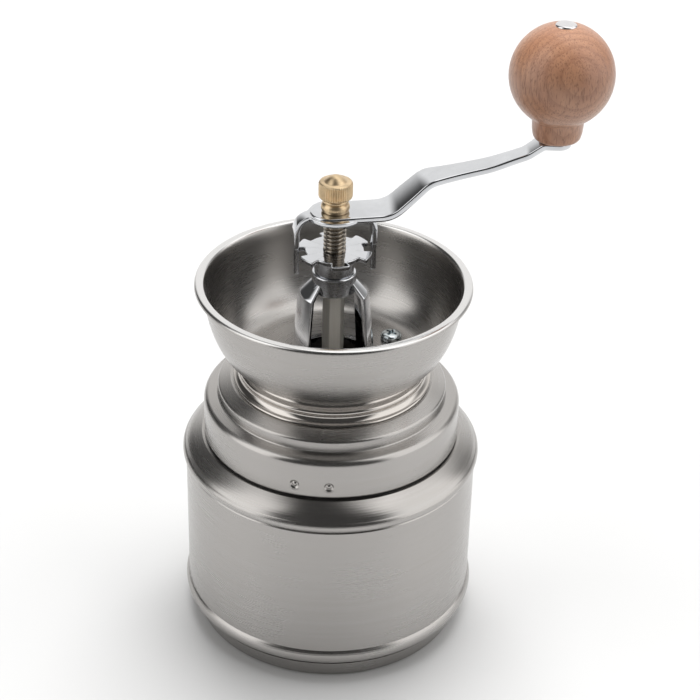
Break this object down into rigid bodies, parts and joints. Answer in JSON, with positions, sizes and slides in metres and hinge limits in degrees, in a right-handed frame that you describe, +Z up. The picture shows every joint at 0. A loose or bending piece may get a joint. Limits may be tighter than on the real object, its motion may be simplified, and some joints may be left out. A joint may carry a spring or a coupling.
{
  "type": "hand crank coffee grinder",
  "caption": "Hand crank burr grinder: steel canister, stepped lift-off collar, open hopper bowl, chromed bridge and cranked arm, brass cap nut, turned wooden knob.",
  "frame": {"origin": "centre of the base's underside, on the canister axis", "axes": "+Z up along the spindle axis, crank arm along +X at rest"},
  "size_m": [0.1318, 0.0962, 0.2035],
  "materials": {
    "brushed_steel": "stainless sheet, brushed round the axis, satin",
    "bowl_steel": "stainless sheet, finely turned, satin",
    "polished_steel": "stainless ring, polished with faint turning lines",
    "dark_plastic": "black moulded plastic, matte",
    "chrome": "bright chrome plating on pressed steel",
    "bush_bronze": "sintered bronze, dull",
    "burr_iron": "cast iron, dark, cut teeth brighter",
    "plated_steel": "zinc plated strip",
    "zinc_screws": "blue-white zinc plating",
    "spindle_steel": "nickel plated bar, drawn lengthwise",
    "rivet_steel": "polished steel rivet",
    "brass": "turned brass, polished, knurled head",
    "beech": "turned beech, clear satin lacquer"
  },
  "bodies": {
    "canister": {"canister_shell": "brushed_steel", "base_plate": "brushed_steel"},
    "top_assembly": {"collar_shell": "brushed_steel", "collar_liner": "dark_plastic", "neck_ring": "polished_steel", "hopper_bowl": "bowl_steel", "bridge": "chrome", "bridge_bush": "bush_bronze", "burr_housing": "burr_iron", "ring_burr": "burr_iron", "lower_bracket": "plated_steel", "bracket_screws": "zinc_screws", "hopper_screws": "zinc_screws", "hopper_nuts": "zinc_screws"},
    "adjuster": {"adjusting_wheel": "chrome"},
    "crank_assembly": {"spindle": "spindle_steel", "cone_burr": "burr_iron", "burr_washer": "zinc_screws", "burr_nut": "zinc_screws", "locking_clip": "chrome", "crank_arm": "chrome", "knob_pin": "rivet_steel", "knob_washer": "rivet_steel"},
    "cap_nut": {"cap_nut": "brass"},
    "handle_knob": {"knob": "beech"}
  },
  "joints": [
    {"name": "top_lift", "type": "slide", "parent": "canister", "child": "top_assembly", "axis": [0, 0, 1], "range_m": [0, 0.06]},
    {"name": "crank_turn", "type": "hinge", "parent": "top_assembly", "child": "adjuster", "pos_m": [0, 0, 0.1258], "axis": [0, 0, 1], "continuous": true},
    {"name": "grind_adjust", "type": "slide", "parent": "adjuster", "child": "crank_assembly", "axis": [0, 0, 1], "range_m": [-0.001, 0.0004]},
    {"name": "nut_unscrew", "type": "slide", "parent": "crank_assembly", "child": "cap_nut", "axis": [0, 0, 1], "range_m": [0, 0.009]},
    {"name": "knob_turn", "type": "hinge", "parent": "crank_assembly", "child": "handle_knob", "pos_m": [0.0678, 0, 0.1668], "axis": [0, 0, 1], "continuous": true}
  ]
}
